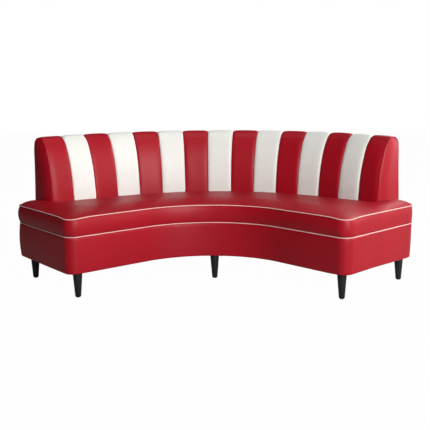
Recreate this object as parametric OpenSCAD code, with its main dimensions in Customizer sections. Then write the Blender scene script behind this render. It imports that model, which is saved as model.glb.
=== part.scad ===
// Curved, armless sofa with a channelled back, in millimetres.
// The plan is a middle arc with two straight wings, hollow towards the sitter.
// x runs along the sofa, y from the hollow front to the rear, z up from the floor.

/* [Plan] */
// Radius of the seat's hollow front edge
front_r = 530; // [450:10:700]
// Half of the angle through which the middle turns
turn_a = 43; // [30:1:50]
// Length of each straight wing beyond the arc
wing_l = 460; // [380:10:600]
// Depth of the seat from front to rear
seat_d = 662; // [620:2:760]
// Plan radius of the two front corners
front_corner_r = 65; // [45:1:90]
// Plan radius of the two rear corners
rear_corner_r = 90; // [80:1:130]
// Radius of the rounding under the base's rear
tuck_r = 56; // [50:1:66]

/* [Heights] */
// Height of the legs, floor to the underside of the base
leg_h = 140; // [100:5:200]
// Height of the upholstered base
base_h = 191; // [150:1:240]
// Height of the seat's side band, between its two pipings
boxing_h = 99; // [80:1:130]
// Rise of the seat's crown above its top piping
crown_h = 22; // [14:1:34]
// Height of the back above the seat's top piping
back_h = 388; // [330:2:460]

/* [Seat] */
// How far the side band swells past the pipings
boxing_swell = 13; // [8:1:16]
// Width over which the crown rises from the edge
crown_w = 130; // [90:5:170]
// Diameter of the piping cord
piping_d = 5; // [4:0.5:8]
// How far the cords' middles stand out past the base
piping_out = 2; // [0:0.5:3]

/* [Back] */
// Depth of the back at its foot
back_d = 192; // [180:2:230]
// How far the back's rear stands behind the seat's rear
back_over = 12; // [6:1:24]
// Distance from the seat's end to the back's end
back_inset = 140; // [90:5:200]
// Rounding of the back's top rear edge
back_top_r = 40; // [38:1:50]
// Thickness of a channel at its crest
channel_t = 34; // [28:1:36]
// Depth of the seam between two channels below their crests
flute_d = 10; // [5:1:14]
// Thickness of a padded end panel
end_panel_t = 14; // [10:1:20]

/* [Legs] */
// Radius of a leg at its top
leg_top_r = 22; // [18:1:26]
// Radius of a leg at its foot
leg_foot_r = 13.5; // [11:0.5:17]
// Distance of the corner legs from the seat's ends
leg_end_in = 76; // [68:1:100]
// Distance of the front corner legs from the front line
leg_front_in = 64; // [55:1:90]
// Distance of the middle front leg from the front line
leg_mid_in = 44; // [42:1:80]
// Distance of the rear legs from the rear line
leg_rear_in = 70; // [55:1:100]

/* [Frame] */
// Thickness of the plywood rails, ribs and posts
rail_t = 18; // [15:1:22]
// Thickness of the seat's plywood deck
deck_t = 15; // [12:1:18]
// Number of cross ribs under each half of the deck
rib_n = 3; // [2:1:4]
// Number of profile ribs in the back
back_rib_n = 9; // [7:2:13]

/* [Hidden] */
$fn = 360;

// Number of stuffed channels, one node each
channel_n = 15;

// Colours of the finishes
red_c = "#a81425";
white_c = "#ece9e4";
piping_c = "#f6ecea";
ply_c = "#d9b98a";
foam_c = "#efe2b0";
black_c = "#1c1a1a";
steel_c = "#9a9ca0";

// Clearances: between soft or curved neighbours, round bolts, and the overrun of a cut
gap = 0.3;
bolt_play = 0.2;
overrun = 5;

// Layers of the upholstery on the base
vinyl_t = 1.5;
padding_t = 8;
skirt_r = 6;
skirt_turn = 30;
skirt_hem = 40;
tuck_lap = 1;
frame_in = vinyl_t + padding_t;
inner_in = frame_in + rail_t;
tuck_in = frame_in + tuck_lap;

// Levels, from the floor up
frame_z = leg_h + vinyl_t;
base_z = leg_h + base_h;
rail_z = base_z - deck_t;
boxing_z = base_z + boxing_h;
welt_t = 1.2;
cord_room = piping_d / 2 + gap;
top_edge_t = 3;
foam_z = boxing_z - top_edge_t;
back_z = boxing_z + piping_d / 2 + welt_t / 2;
back_top = boxing_z + back_h;

// Plan lengths measured on the middle line of the seat
turn_rad = turn_a * PI / 180;
mid_r = front_r + seat_d / 2;
mid_half = mid_r * turn_rad + wing_l;

// Places of the back along the depth
back_rear = seat_d + back_over;
back_front = back_rear - back_d;
crown_u = back_rear - back_top_r;
rear_cover_t = 7;
rear_panel_t = 5;
panel_u = back_rear - rear_cover_t;
frame_u = panel_u - rear_panel_t;
back_r = front_r + back_front;
back_wing = wing_l - back_inset;
back_half = back_r * turn_rad + back_wing;
core_wing = back_wing - end_panel_t;

// The back's outer profile: a superellipse up the front, then the rounded top edge
profile_n = 1.8;
front_steps = 10;
round_steps = 3;
tail_h = 10;
back_foam_t = 20;
slat_t = 5;
core_in = channel_t + back_foam_t;
rib_in = core_in + slat_t;
foam_steps = 7;

// The bounding box's middle along y, so that the origin lies under the box's centre
swell_out = max(boxing_swell, piping_out + piping_d / 2);
box_front = (front_r + front_corner_r) * cos(turn_a)
    - (wing_l - front_corner_r) * sin(turn_a) - front_corner_r - swell_out;
box_rear = front_r + max(seat_d + swell_out, back_rear);
plan_shift = (box_front + box_rear) / 2;

// Turn and wing length reached after going s along a line of radius r
function turn_at(s, r) = sign(s) * min(abs(s), r * turn_rad) / r * 180 / PI;
function wing_at(s, r) = max(abs(s) - r * turn_rad, 0);

// Plan point at s along the line of radius r, set u behind the front line
function place(s, r, u) =
    let (a = turn_at(s, r), w = wing_at(s, r), q = front_r + u)
    [q * sin(a) + sign(s) * w * cos(a), q * cos(a) - w * abs(sin(a)) - plan_shift];

// Moves its children to the frame of the right wing: x along the wing, y to the rear
module wing_frame() {
    translate([0, -plan_shift, 0])
        rotate(90 - turn_a)
            translate([front_r, 0, 0])
                rotate(-90)
                    children();
}

// Both wings: the right one and its mirror image
module both_wings() {
    for (side = [0, 1])
        mirror([side, 0, 0])
            wing_frame()
                children();
}

// Carries a section along the front line; in the section x is the depth and y the height
module along(wing) {
    translate([0, -plan_shift, 0])
        rotate(90 - turn_a)
            rotate_extrude(angle = 2 * turn_a)
                translate([front_r, 0])
                    children();
    both_wings()
        rotate(90)
            rotate([90, 0, 0])
                linear_extrude(wing)
                    children();
}

// Carries a section all round the seat's outline; in the section x points outwards
module around() {
    translate([0, -plan_shift, 0])
        rotate(90 - turn_a) {
            rotate_extrude(angle = 2 * turn_a)
                translate([front_r + seat_d, 0])
                    children();
            rotate_extrude(angle = 2 * turn_a)
                translate([front_r, 0])
                    mirror([1, 0])
                        children();
        }
    both_wings() {
        translate([wing_l - front_corner_r, 0, 0])
            rotate(-90)
                rotate([90, 0, 0])
                    linear_extrude(wing_l - front_corner_r)
                        children();
        translate([wing_l - front_corner_r, front_corner_r, 0])
            rotate(-90)
                rotate_extrude(angle = 90)
                    translate([front_corner_r, 0])
                        children();
        translate([wing_l, seat_d - rear_corner_r, 0])
            rotate([90, 0, 0])
                linear_extrude(seat_d - front_corner_r - rear_corner_r)
                    children();
        translate([wing_l - rear_corner_r, seat_d - rear_corner_r, 0])
            rotate_extrude(angle = 90)
                translate([rear_corner_r, 0])
                    children();
        translate([0, seat_d, 0])
            rotate(90)
                rotate([90, 0, 0])
                    linear_extrude(wing_l - rear_corner_r)
                        children();
    }
}

// Length of the plan's ends that hold the rounded corners
end_l = max(front_corner_r, rear_corner_r) + rail_t;

// Plate over the seat's whole plan, drawn in by inset, from z_0 to z_1
module plate(inset, z_0, z_1) {
    along(wing_l - end_l)
        band(inset, seat_d - inset, z_0, z_1);
    both_wings()
        translate([wing_l - end_l, 0, z_0])
            linear_extrude(z_1 - z_0)
                end_plan(inset);
}

// End of that plate, with its two rounded corners
module end_plan(inset) {
    translate([0, front_corner_r])
        square([end_l - inset, seat_d - front_corner_r - rear_corner_r]);
    translate([0, inset])
        square([end_l - front_corner_r, front_corner_r - inset]);
    translate([0, seat_d - rear_corner_r])
        square([end_l - rear_corner_r, rear_corner_r - inset]);
    translate([end_l - front_corner_r, front_corner_r])
        intersection() {
            circle(front_corner_r - inset);
            translate([0, -front_corner_r])
                square(front_corner_r);
        }
    translate([end_l - rear_corner_r, seat_d - rear_corner_r])
        intersection() {
            circle(rear_corner_r - inset);
            square(rear_corner_r);
        }
}

// A section that reaches in from u_0 to u_1 and up from z_0 to z_1
module band(u_0, u_1, z_0, z_1) {
    translate([u_0, z_0])
        square([u_1 - u_0, z_1 - z_0]);
}

// What the rounding under the base's rear takes off a solid drawn in by inset
module tuck(inset) {
    along(wing_l + overrun)
        difference() {
            band(seat_d - tuck_r, seat_d + overrun, leg_h - overrun, leg_h + tuck_r);
            tuck_circle(inset);
        }
}

module tuck_circle(inset) {
    translate([seat_d - tuck_r, leg_h + tuck_r])
        circle(tuck_r - inset);
}

// Layer that follows the rounding, between the depths in_0 and in_1, and ends in the walls
module tuck_layer(in_0, in_1) {
    intersection() {
        along(wing_l)
            difference() {
                intersection() {
                    band(seat_d - tuck_r, seat_d, leg_h, leg_h + tuck_r);
                    tuck_circle(in_0);
                }
                tuck_circle(in_1);
            }
        plate(in_0 + vinyl_t / 2, leg_h - overrun, base_z);
    }
}

// Puts its children at s along the middle line and u behind the front line, x to the rear
module at_run(s, u) {
    p = place(s, mid_r, u);
    translate([p.x, p.y, 0])
        rotate(90 - turn_at(s, mid_r))
            children();
}

// Base frame: rails along the front and rear, rails across the ends, bent posts in the corners
module base_front_rail() {
    color(ply_c)
        along(wing_l - front_corner_r)
            band(frame_in, inner_in, frame_z, rail_z);
}

module base_rear_rail() {
    color(ply_c)
        along(wing_l - rear_corner_r)
            band(seat_d - inner_in, seat_d - frame_in, leg_h + tuck_r, rail_z);
}

module base_end_rails() {
    color(ply_c)
        difference() {
            both_wings()
                translate([wing_l - inner_in, front_corner_r, frame_z])
                    cube([rail_t, seat_d - front_corner_r - rear_corner_r, rail_z - frame_z]);
            tuck(tuck_in + gap);
        }
}

module corner_posts() {
    color(ply_c)
        difference() {
            translate([0, 0, frame_z])
                linear_extrude(rail_z - frame_z)
                    both_wings() {
                        corner_post(wing_l - front_corner_r, front_corner_r, front_corner_r, -90);
                        corner_post(wing_l - rear_corner_r, seat_d - rear_corner_r, rear_corner_r, 0);
                    }
            tuck(tuck_in + gap);
        }
}

// Post bent round a corner of the radius r about the point x, y, opening from the angle a
module corner_post(x, y, r, a) {
    translate([x, y])
        rotate(a)
            intersection() {
                difference() {
                    circle(r - frame_in);
                    circle(r - inner_in);
                }
                square(r);
            }
}

// Size of the blocks behind the rails that the legs screw into
block_half = 50;
block_h = 36;

// Ribs across the base, in mirrored pairs that stay clear of the leg blocks
rib_end = mid_half - leg_end_in - 2 * block_half;
rib_runs = [for (i = [1 : rib_n]) for (side = [-1, 1]) side * rib_end * (i - 0.5) / (rib_n - 0.5)];

module base_ribs() {
    color(ply_c)
        difference() {
            for (s = rib_runs)
                at_run(s, inner_in + gap)
                    translate([0, -rail_t / 2, frame_z])
                        cube([seat_d - 2 * (inner_in + gap), rail_t, rail_z - frame_z]);
            tuck(tuck_in + gap);
        }
}

// Where the legs stand, from the middle of the run and behind the front line
leg_run = mid_half - leg_end_in;
leg_places = [
    [-leg_run, leg_front_in], [0, leg_mid_in], [leg_run, leg_front_in],
    [-leg_run, seat_d - leg_rear_in], [0, seat_d - leg_rear_in], [leg_run, seat_d - leg_rear_in]
];
bolt_r = 4;

module at_legs() {
    for (p = leg_places)
        at_run(p.x, p.y)
            children();
}

module leg_blocks() {
    color(ply_c)
        difference() {
            intersection() {
                plate(inner_in + gap, frame_z, frame_z + block_h);
                at_legs()
                    translate([-block_half, -block_half, frame_z])
                        cube([2 * block_half, 2 * block_half, block_h]);
            }
            tuck(tuck_in + gap);
            leg_bolt_holes();
        }
}

// Holes for the legs' bolts, through the cloth, the vinyl and the blocks
module leg_bolt_holes() {
    at_legs()
        translate([0, 0, leg_h - overrun])
            cylinder(r = bolt_r + bolt_play, h = vinyl_t + block_h + 2 * overrun, $fn = 48);
}

module seat_deck() {
    color(ply_c)
        difference() {
            plate(frame_in, rail_z, base_z);
            back_bolt_holes();
        }
}

// Base upholstery: thin padding, the vinyl skirt that turns under, and the cloth below
skirt_z = base_z - cord_room;
hem_u = seat_d - tuck_r - skirt_hem;

// Section of the skirt, drawn in by inset: a wall with a rounded lower edge
module skirt_section(inset) {
    edge = skirt_r - inset;
    translate([-inset, leg_h + inset]) {
        band(-skirt_turn, 0, edge, skirt_z - leg_h);
        band(-skirt_turn, -edge, 0, edge);
        translate([-edge, edge])
            circle(edge);
    }
}

module base_padding() {
    color(foam_c) {
        difference() {
            around()
                intersection() {
                    band(-frame_in, 0, leg_h, skirt_z);
                    skirt_section(vinyl_t);
                }
            tuck(vinyl_t);
        }
        tuck_layer(vinyl_t, tuck_in);
    }
}

module base_cover() {
    color(red_c)
        difference() {
            union() {
                difference() {
                    around()
                        difference() {
                            skirt_section(0);
                            skirt_section(vinyl_t);
                        }
                    tuck(0);
                }
                tuck_layer(0, vinyl_t);
                intersection() {
                    along(wing_l)
                        band(hem_u, seat_d - tuck_r, leg_h, frame_z);
                    plate(skirt_turn, leg_h - overrun, frame_z + overrun);
                }
            }
            leg_bolt_holes();
        }
}

module dust_cover() {
    color(black_c)
        difference() {
            intersection() {
                plate(skirt_turn + gap, leg_h, frame_z);
                along(wing_l)
                    band(0, hem_u - gap, leg_h - overrun, leg_h + overrun);
            }
            leg_bolt_holes();
        }
}

// Seat: foam on the deck, a swelling side band, a crowned top and two pipings
boxing_t = 10;
mount_w = 60;
mount_u = seat_d - boxing_t - gap - mount_w / 2;

module seat_foam() {
    color(foam_c)
        difference() {
            plate(boxing_t + gap, base_z, foam_z);
            along(core_wing + gap)
                band(mount_u - mount_w / 2 - gap, seat_d, base_z - overrun, foam_z + overrun);
        }
}

module seat_boxing() {
    low = base_z + cord_room;
    high = boxing_z - cord_room;
    half = (high - low) / 2;
    swell_r = (half * half + boxing_swell * boxing_swell) / (2 * boxing_swell);
    color(red_c)
        around() {
            band(-boxing_t, piping_out - cord_room, base_z + welt_t / 2, boxing_z - welt_t / 2);
            band(-boxing_t, 0, low, high);
            intersection() {
                band(0, boxing_swell, low, high);
                translate([boxing_swell - swell_r, low + half])
                    circle(swell_r);
            }
        }
}

// Cord in the seam at the height z, with its flange sewn in
module piping(z) {
    color(piping_c)
        around() {
            translate([piping_out, z])
                circle(d = piping_d, $fn = 48);
            band(gap - frame_in, piping_out, z - welt_t / 2, z + welt_t / 2);
        }
}

// Wooden rail in the foam, under the back, that the back is bolted to
module back_mount_rail() {
    color(ply_c)
        difference() {
            along(core_wing)
                band(mount_u - mount_w / 2, mount_u + mount_w / 2, base_z, foam_z);
            back_bolt_holes();
        }
}

// Crowned top of the seat: rings at shares of the crown's width, from the edge inwards
ring_shares = [0, 0.03, 0.1, 0.22, 0.42, 0.7, 1];
arc_steps = 20;
wing_steps = 3;
corner_steps = 5;
end_steps = 4;

// Crown height after a share of the crown's width
function crown_rise(share) = crown_h * pow(1 - pow(1 - share, 2.4), 0.75);

// Points from p to q, without q
function run_to(p, q, steps) = [for (i = [0 : steps - 1]) p + (q - p) * i / steps];

// Quarter turn about c from the angle a, without its last point
function quarter(c, r, a) =
    [for (i = [0 : corner_steps - 1]) c + r * [cos(a + 90 * i / corner_steps), sin(a + 90 * i / corner_steps)]];

// Outline on the unrolled seat, x along its middle line, drawn in by d. The corners
// keep a least share of their radius.
corner_share = 1 / 8;
function ring_flat(d) =
    let (
        bend = mid_r * turn_rad,
        fr = max(front_corner_r - d, corner_share * front_corner_r),
        rr = max(rear_corner_r - d, corner_share * rear_corner_r),
        x = mid_half - d,
        y = seat_d - d
    )
    concat(
        run_to([-bend, d], [bend, d], arc_steps),
        run_to([bend, d], [x - fr, d], wing_steps),
        quarter([x - fr, d + fr], fr, -90),
        run_to([x, d + fr], [x, y - rr], end_steps),
        quarter([x - rr, y - rr], rr, 0),
        run_to([x - rr, y], [bend, y], wing_steps),
        run_to([bend, y], [-bend, y], arc_steps),
        run_to([-bend, y], [rr - x, y], wing_steps),
        quarter([rr - x, y - rr], rr, 90),
        run_to([-x, y - rr], [-x, d + fr], end_steps),
        quarter([fr - x, d + fr], fr, 180),
        run_to([fr - x, d], [-bend, d], wing_steps)
    );

// The same outline bent to the plan, at the height z
function ring(d, z) =
    [for (p = ring_flat(d)) let (q = place(p.x, mid_r, p.y)) [q.x, q.y, z]];

// Closed solid through loops of n points each. Its flat caps are one face each, or,
// where the loops fold about two of their points, strips between facing points.
module skin(loops, fold = undef) {
    n = len(loops[0]);
    m = len(loops);
    sides = [
        for (j = [0 : m - 2]) for (i = [0 : n - 1])
            let (a = j * n + i, b = j * n + (i + 1) % n)
            each [[a, a + n, b + n], [a, b + n, b]]
    ];
    whole = [for (i = [0 : n - 1]) i];
    strips = is_undef(fold) ? [] : [
        for (i = [(fold - n) / 2 : fold / 2 - 1])
            let (a = (i + n) % n, b = (i + 1 + n) % n, c = (fold - i - 1) % n, d = (fold - i) % n)
            each [if (c != b) [a, b, c], if (a != d) [a, c, d]]
    ];
    low = is_undef(fold) ? [whole] : strips;
    high = [for (face = low) [for (i = [len(face) - 1 : -1 : 0]) (m - 1) * n + face[i]]];
    polyhedron([for (loop = loops) each loop], concat(sides, low, high));
}

// The rings fold about points in the right front and the left rear corner, so that no
// strip joins points of one straight side
ring_fold = 2 * (arc_steps + wing_steps + floor(corner_steps / 2));

module seat_top() {
    low = boxing_z + welt_t / 2;
    edge = cord_room - piping_out;
    rings = concat(
        [ring(boxing_t + gap, foam_z), ring(boxing_t + gap, low)],
        [for (share = ring_shares) ring(edge + share * crown_w, low + crown_rise(share))]
    );
    color(red_c)
        difference() {
            skin(rings, ring_fold);
            along(back_wing + gap)
                band(back_front - gap, back_rear + overrun, back_z, back_top);
            back_bolt_holes();
        }
}

// Profile of the back: depth and height at step k, with its outward direction
function crown_angle(k) = 90 * k / front_steps;
function round_angle(k) = 90 * (k - front_steps) / round_steps;
function outward(k) =
    k <= front_steps
        ? let (
            t = crown_angle(k),
            e = 2 - 2 / profile_n,
            v = [-pow(cos(t), e) / (crown_u - back_front), pow(sin(t), e) / (back_top - back_z)]
        ) v / norm(v)
        : let (f = min(round_angle(k), 90)) [sin(f), cos(f)];
function outer(k) =
    k <= front_steps
        ? let (t = crown_angle(k))
            [
                crown_u - (crown_u - back_front) * pow(cos(t), 2 / profile_n),
                back_z + (back_top - back_z) * pow(sin(t), 2 / profile_n)
            ]
        : [crown_u, back_top - back_top_r] + back_top_r * outward(k)
            - [0, k > front_steps + round_steps ? tail_h : 0];

// The profile at step k, set in by depth
function layer(k, depth) = outer(k) - depth * outward(k);
function layer_run(k_0, k_1, depth) = [for (k = [k_0 : k_1]) layer(k, depth)];
last_step = front_steps + round_steps + 1;

// Inside of a channel: full thickness up the front, thinning over the top to the rear
function inside_in(k) =
    k <= front_steps
        ? channel_t
        : channel_t + (rear_cover_t - channel_t) * min((k - front_steps) / round_steps, 1);

// Depth of the seams, which run out with the channels' thickness
function flute_at(k) = flute_d * inside_in(k) / channel_t;

// Puff of a channel across its width, from seam to seam
across_shares = [-1, -0.93, -0.78, -0.45, 0, 0.45, 0.78, 0.93, 1];
behind_shares = [1, 0, -1];
function puff(v) = sqrt(1 - pow(abs(v), 5));

// One channel from the line s_0 to s_1; the outer edge of an end channel stays full
module channel(s_0, s_1, full_0, full_1) {
    centre = (s_0 + s_1) / 2;
    half = (s_1 - s_0) / 2 - gap / 2;
    depth = function(v, k)
        let (fold = flute_at(k) * (1 - puff(v)))
        (v < 0 && full_0) || (v > 0 && full_1) ? fold / 2 : fold;
    skin([
        for (k = [0 : last_step])
            concat(
                [
                    for (v = across_shares)
                        let (q = layer(k, depth(v, k)), p = place(centre + v * half, back_r, q.x))
                        [p.x, p.y, q.y]
                ],
                [
                    for (v = behind_shares)
                        let (q = layer(k, inside_in(k)), p = place(centre + v * half, back_r, q.x))
                        [p.x, p.y, q.y]
                ]
            )
    ]);
}

module numbered_channel(i) {
    pitch = 2 * back_half / channel_n;
    first = i == 1;
    last = i == channel_n;
    s_0 = -back_half + (i - 1) * pitch + (first ? end_panel_t : 0);
    s_1 = -back_half + i * pitch - (last ? end_panel_t : 0);
    color(i % 2 == 1 ? red_c : white_c)
        channel(s_0, s_1, first, last);
}

// Padded end panel: the back's profile with a domed outer face. Each pair is a share of
// the panel's thickness and of the dome's width.
panel_dome = 24;
panel_shares = [[0, 0], [0.45, 0], [0.8, 1 / 6], [0.95, 1 / 2], [1, 1]];

module back_end(side) {
    loops = [
        for (share = panel_shares)
            let (
                s = back_half - end_panel_t + share[0] * end_panel_t,
                dome = share[1] * panel_dome,
                run = [for (k = [0 : last_step - 1]) layer(k, flute_at(k) / 2 + dome)]
            )
            [
                for (q = concat(run, [[run[last_step - 1].x, back_z]]))
                    let (p = place(s, back_r, q.x))
                    [p.x, p.y, q.y]
            ]
    ];
    color(red_c)
        mirror([side < 0 ? 1 : 0, 0, 0])
            skin([for (i = [len(loops) - 1 : -1 : 0]) loops[i]]);
}

// Frame of the back: rails at foot and top, ribs cut to the profile, bent slats across
module back_bottom_rail() {
    color(ply_c)
        difference() {
            along(core_wing)
                band(back_front + core_in, frame_u, back_z, back_z + rail_t);
            back_bolt_holes();
        }
}

// The top rail takes over from the foam after the foam's steps, and the ribs end under it
rail_foot = layer(foam_steps, rib_in);

module back_top_rail() {
    front = layer_run(foam_steps, front_steps, channel_t);
    top = [for (k = [front_steps + 1 : front_steps + round_steps]) layer(k, inside_in(k))];
    color(ply_c)
        along(core_wing)
            polygon(concat(front, top, [[panel_u, rail_foot.y], rail_foot]));
}

module rib_section() {
    intersection() {
        polygon(concat(layer_run(0, front_steps, rib_in), [[crown_u, back_z]]));
        band(back_front + rib_in, crown_u, back_z + rail_t, rail_foot.y);
    }
    band(crown_u, frame_u, back_z + rail_t, rail_foot.y);
}

back_rib_end = mid_half - back_inset - end_panel_t - rail_t / 2;
back_rib_half = (back_rib_n - 1) / 2;
rib_hole_r = 22;

module back_ribs() {
    hole_x = (back_front + rib_in + frame_u) / 2;
    hole_z = back_z + rail_t + (rail_foot.y - back_z - rail_t) / 3;
    color(ply_c)
        for (i = [-back_rib_half : back_rib_half])
            at_run(back_rib_end * i / back_rib_half, 0)
                rotate([90, 0, 0])
                    translate([0, 0, -rail_t / 2])
                        linear_extrude(rail_t)
                            difference() {
                                rib_section();
                                translate([hole_x, hole_z])
                                    circle(rib_hole_r);
                            }
}

// Slats: each spans one step of the profile, laid on the ribs
slat_steps = [1, 3, 5];

module back_slats() {
    color(ply_c)
        along(core_wing)
            for (k = slat_steps)
                polygon(concat(
                    layer_run(k, k + 1, core_in),
                    [layer(k + 1, rib_in), layer(k, rib_in)]
                ));
}

module back_foam() {
    back = layer_run(0, foam_steps, core_in);
    color(foam_c)
        along(core_wing)
            polygon(concat(
                layer_run(0, foam_steps, channel_t),
                [for (k = [foam_steps : -1 : 0]) back[k]]
            ));
}

module back_rear_panel() {
    color(ply_c)
        along(core_wing)
            band(frame_u, panel_u, back_z, rail_foot.y);
}

module back_rear_cover() {
    color(red_c)
        along(core_wing)
            band(panel_u, back_rear, back_z, back_top - back_top_r - tail_h - gap);
}

// Bolts that hold the back, between its ribs
head_r = 8;
head_h = 5;
nut_r = 7.5;
nut_h = 6.5;
thread_over = 4;
back_bolt_runs = [
    for (i = [-back_rib_half : back_rib_half - 1]) back_rib_end * (i + 0.5) / back_rib_half
];

module at_back_bolts() {
    for (s = back_bolt_runs)
        at_run(s, mount_u)
            children();
}

module back_bolt_holes() {
    at_back_bolts()
        translate([0, 0, rail_z - overrun])
            cylinder(r = bolt_r + bolt_play, h = back_z + rail_t - rail_z + 2 * overrun, $fn = 48);
}

module back_bolts() {
    color(steel_c)
        at_back_bolts() {
            translate([0, 0, rail_z - head_h])
                cylinder(r = head_r, h = head_h, $fn = 6);
            translate([0, 0, rail_z - head_h])
                cylinder(r = bolt_r, h = head_h + back_z + rail_t - rail_z + nut_h + thread_over, $fn = 48);
        }
}

module back_nuts() {
    color(steel_c)
        at_back_bolts()
            translate([0, 0, back_z + rail_t])
                difference() {
                    cylinder(r = nut_r, h = nut_h, $fn = 6);
                    translate([0, 0, -overrun])
                        cylinder(r = bolt_r + bolt_play, h = nut_h + 2 * overrun, $fn = 48);
                }
}

// Turned leg with a bolt in its top and a glide under its foot
glide_t = 4;
glide_r = 11;
leg_edge = 1.5;
hanger_in = 45;
hanger_up = 16;
tee_r = 11;
tee_t = 2;

module leg(i) {
    color(black_c)
        at_run(leg_places[i].x, leg_places[i].y)
            difference() {
                rotate_extrude($fn = 96)
                    polygon([
                        [0, glide_t],
                        [leg_foot_r - leg_edge, glide_t],
                        [leg_foot_r, glide_t + leg_edge],
                        [leg_top_r, leg_h - leg_edge],
                        [leg_top_r - leg_edge, leg_h],
                        [0, leg_h]
                    ]);
                translate([0, 0, leg_h - hanger_in])
                    cylinder(r = bolt_r + bolt_play, h = hanger_in + overrun, $fn = 48);
            }
}

module hanger_bolts() {
    color(steel_c)
        at_legs()
            translate([0, 0, leg_h - hanger_in])
                cylinder(r = bolt_r, h = hanger_in + vinyl_t + block_h + hanger_up, $fn = 48);
}

module tee_nuts() {
    color(steel_c)
        at_legs()
            translate([0, 0, frame_z + block_h])
                difference() {
                    cylinder(r = tee_r, h = tee_t, $fn = 48);
                    translate([0, 0, -overrun])
                        cylinder(r = bolt_r + bolt_play, h = tee_t + 2 * overrun, $fn = 48);
                }
}

module glides() {
    color(black_c)
        at_legs()
            cylinder(r = glide_r, h = glide_t, $fn = 48);
}

base_front_rail();
base_rear_rail();
base_end_rails();
corner_posts();
base_ribs();
leg_blocks();
seat_deck();
base_padding();
base_cover();
dust_cover();
seat_foam();
seat_boxing();
seat_top();
piping(boxing_z);  // piping_top
piping(base_z);  // piping_low
back_mount_rail();
back_bottom_rail();
back_top_rail();
back_ribs();
back_slats();
back_foam();
back_rear_panel();
back_rear_cover();
back_end(-1);  // back_end_left
back_end(1);  // back_end_right
numbered_channel(1);  // channel_01
numbered_channel(2);  // channel_02
numbered_channel(3);  // channel_03
numbered_channel(4);  // channel_04
numbered_channel(5);  // channel_05
numbered_channel(6);  // channel_06
numbered_channel(7);  // channel_07
numbered_channel(8);  // channel_08
numbered_channel(9);  // channel_09
numbered_channel(10);  // channel_10
numbered_channel(11);  // channel_11
numbered_channel(12);  // channel_12
numbered_channel(13);  // channel_13
numbered_channel(14);  // channel_14
numbered_channel(15);  // channel_15
back_bolts();
back_nuts();
leg(0);  // leg_front_left
leg(1);  // leg_front_middle
leg(2);  // leg_front_right
leg(3);  // leg_rear_left
leg(4);  // leg_rear_middle
leg(5);  // leg_rear_right
hanger_bolts();
tee_nuts();
glides();
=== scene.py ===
import math
import bmesh
import bpy
import numpy as np
from mathutils import Matrix, Vector


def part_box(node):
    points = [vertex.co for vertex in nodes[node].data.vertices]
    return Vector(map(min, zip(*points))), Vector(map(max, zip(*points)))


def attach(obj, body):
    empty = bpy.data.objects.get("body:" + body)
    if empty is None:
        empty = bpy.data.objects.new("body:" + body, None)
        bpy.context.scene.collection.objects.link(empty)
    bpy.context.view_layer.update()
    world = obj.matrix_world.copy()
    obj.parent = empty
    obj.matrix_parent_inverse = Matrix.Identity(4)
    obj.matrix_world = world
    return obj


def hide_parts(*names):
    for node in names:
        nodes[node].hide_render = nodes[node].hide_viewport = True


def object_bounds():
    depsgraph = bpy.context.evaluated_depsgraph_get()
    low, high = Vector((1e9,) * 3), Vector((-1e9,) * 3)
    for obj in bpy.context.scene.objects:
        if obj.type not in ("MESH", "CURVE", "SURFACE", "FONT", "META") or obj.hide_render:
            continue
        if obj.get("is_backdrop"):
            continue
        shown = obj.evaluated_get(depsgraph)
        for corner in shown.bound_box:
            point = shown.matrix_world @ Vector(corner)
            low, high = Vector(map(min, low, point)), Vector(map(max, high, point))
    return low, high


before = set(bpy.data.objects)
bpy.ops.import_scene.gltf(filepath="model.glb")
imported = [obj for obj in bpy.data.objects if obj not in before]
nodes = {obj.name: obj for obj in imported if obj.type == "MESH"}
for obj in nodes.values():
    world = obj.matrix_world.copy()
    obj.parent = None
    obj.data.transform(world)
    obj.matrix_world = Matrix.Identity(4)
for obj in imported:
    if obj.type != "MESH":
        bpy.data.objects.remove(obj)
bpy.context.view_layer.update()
scene = bpy.context.scene

# Camera
# The camera stands a little right of the sofa's middle, at the height of a sitting
# person's eyes, and looks slightly down at the seat. Its place comes from the pipings,
# the seams and the feet.
camera_data = bpy.data.cameras.new("camera")
camera = bpy.data.objects.new("camera", camera_data)
scene.collection.objects.link(camera)
yaw, pitch, roll = -0.0504, -0.1022, -0.0082
forward = Vector((math.sin(yaw) * math.cos(pitch), math.cos(yaw) * math.cos(pitch), math.sin(pitch)))
level = Vector((math.cos(yaw), -math.sin(yaw), 0))
upright = level.cross(forward)
right = level * math.cos(roll) + upright * math.sin(roll)
upward = upright * math.cos(roll) - level * math.sin(roll)
turned = Matrix((right, upward, -forward)).transposed().to_4x4()
camera.matrix_world = Matrix.Translation((0.3129, -3.8585, 1.0153)) @ turned
camera_data.lens = 56.16
camera_data.sensor_width = 36
camera_data.shift_x = -0.0466
camera_data.shift_y = -0.1053
scene.camera = camera

# Wooden frame
# Rails, ribs, blocks and decks of birch plywood, screwed and glued. They are hidden
# under the upholstery, raw, with pale faces and fine long grain.
wood_nodes = [
    "base_front_rail", "base_rear_rail", "base_end_rails", "corner_posts", "base_ribs",
    "leg_blocks", "seat_deck", "back_mount_rail", "back_bottom_rail", "back_top_rail",
    "back_ribs", "back_slats", "back_rear_panel"
]


def new_material(name):
    material = bpy.data.materials.new(name)
    material.use_nodes = True
    tree = material.node_tree
    return material, tree, tree.nodes["Principled BSDF"]


def add_node(tree, kind, **settings):
    made = tree.nodes.new(kind)
    for key, value in settings.items():
        if key in made.inputs:
            made.inputs[key].default_value = value
        else:
            setattr(made, key, value)
    return made


def object_point(tree, scale=(1, 1, 1)):
    place = add_node(tree, "ShaderNodeTexCoord")
    mapping = add_node(tree, "ShaderNodeMapping")
    mapping.inputs["Scale"].default_value = scale
    tree.links.new(place.outputs["Object"], mapping.inputs["Vector"])
    return mapping.outputs["Vector"]


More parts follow.
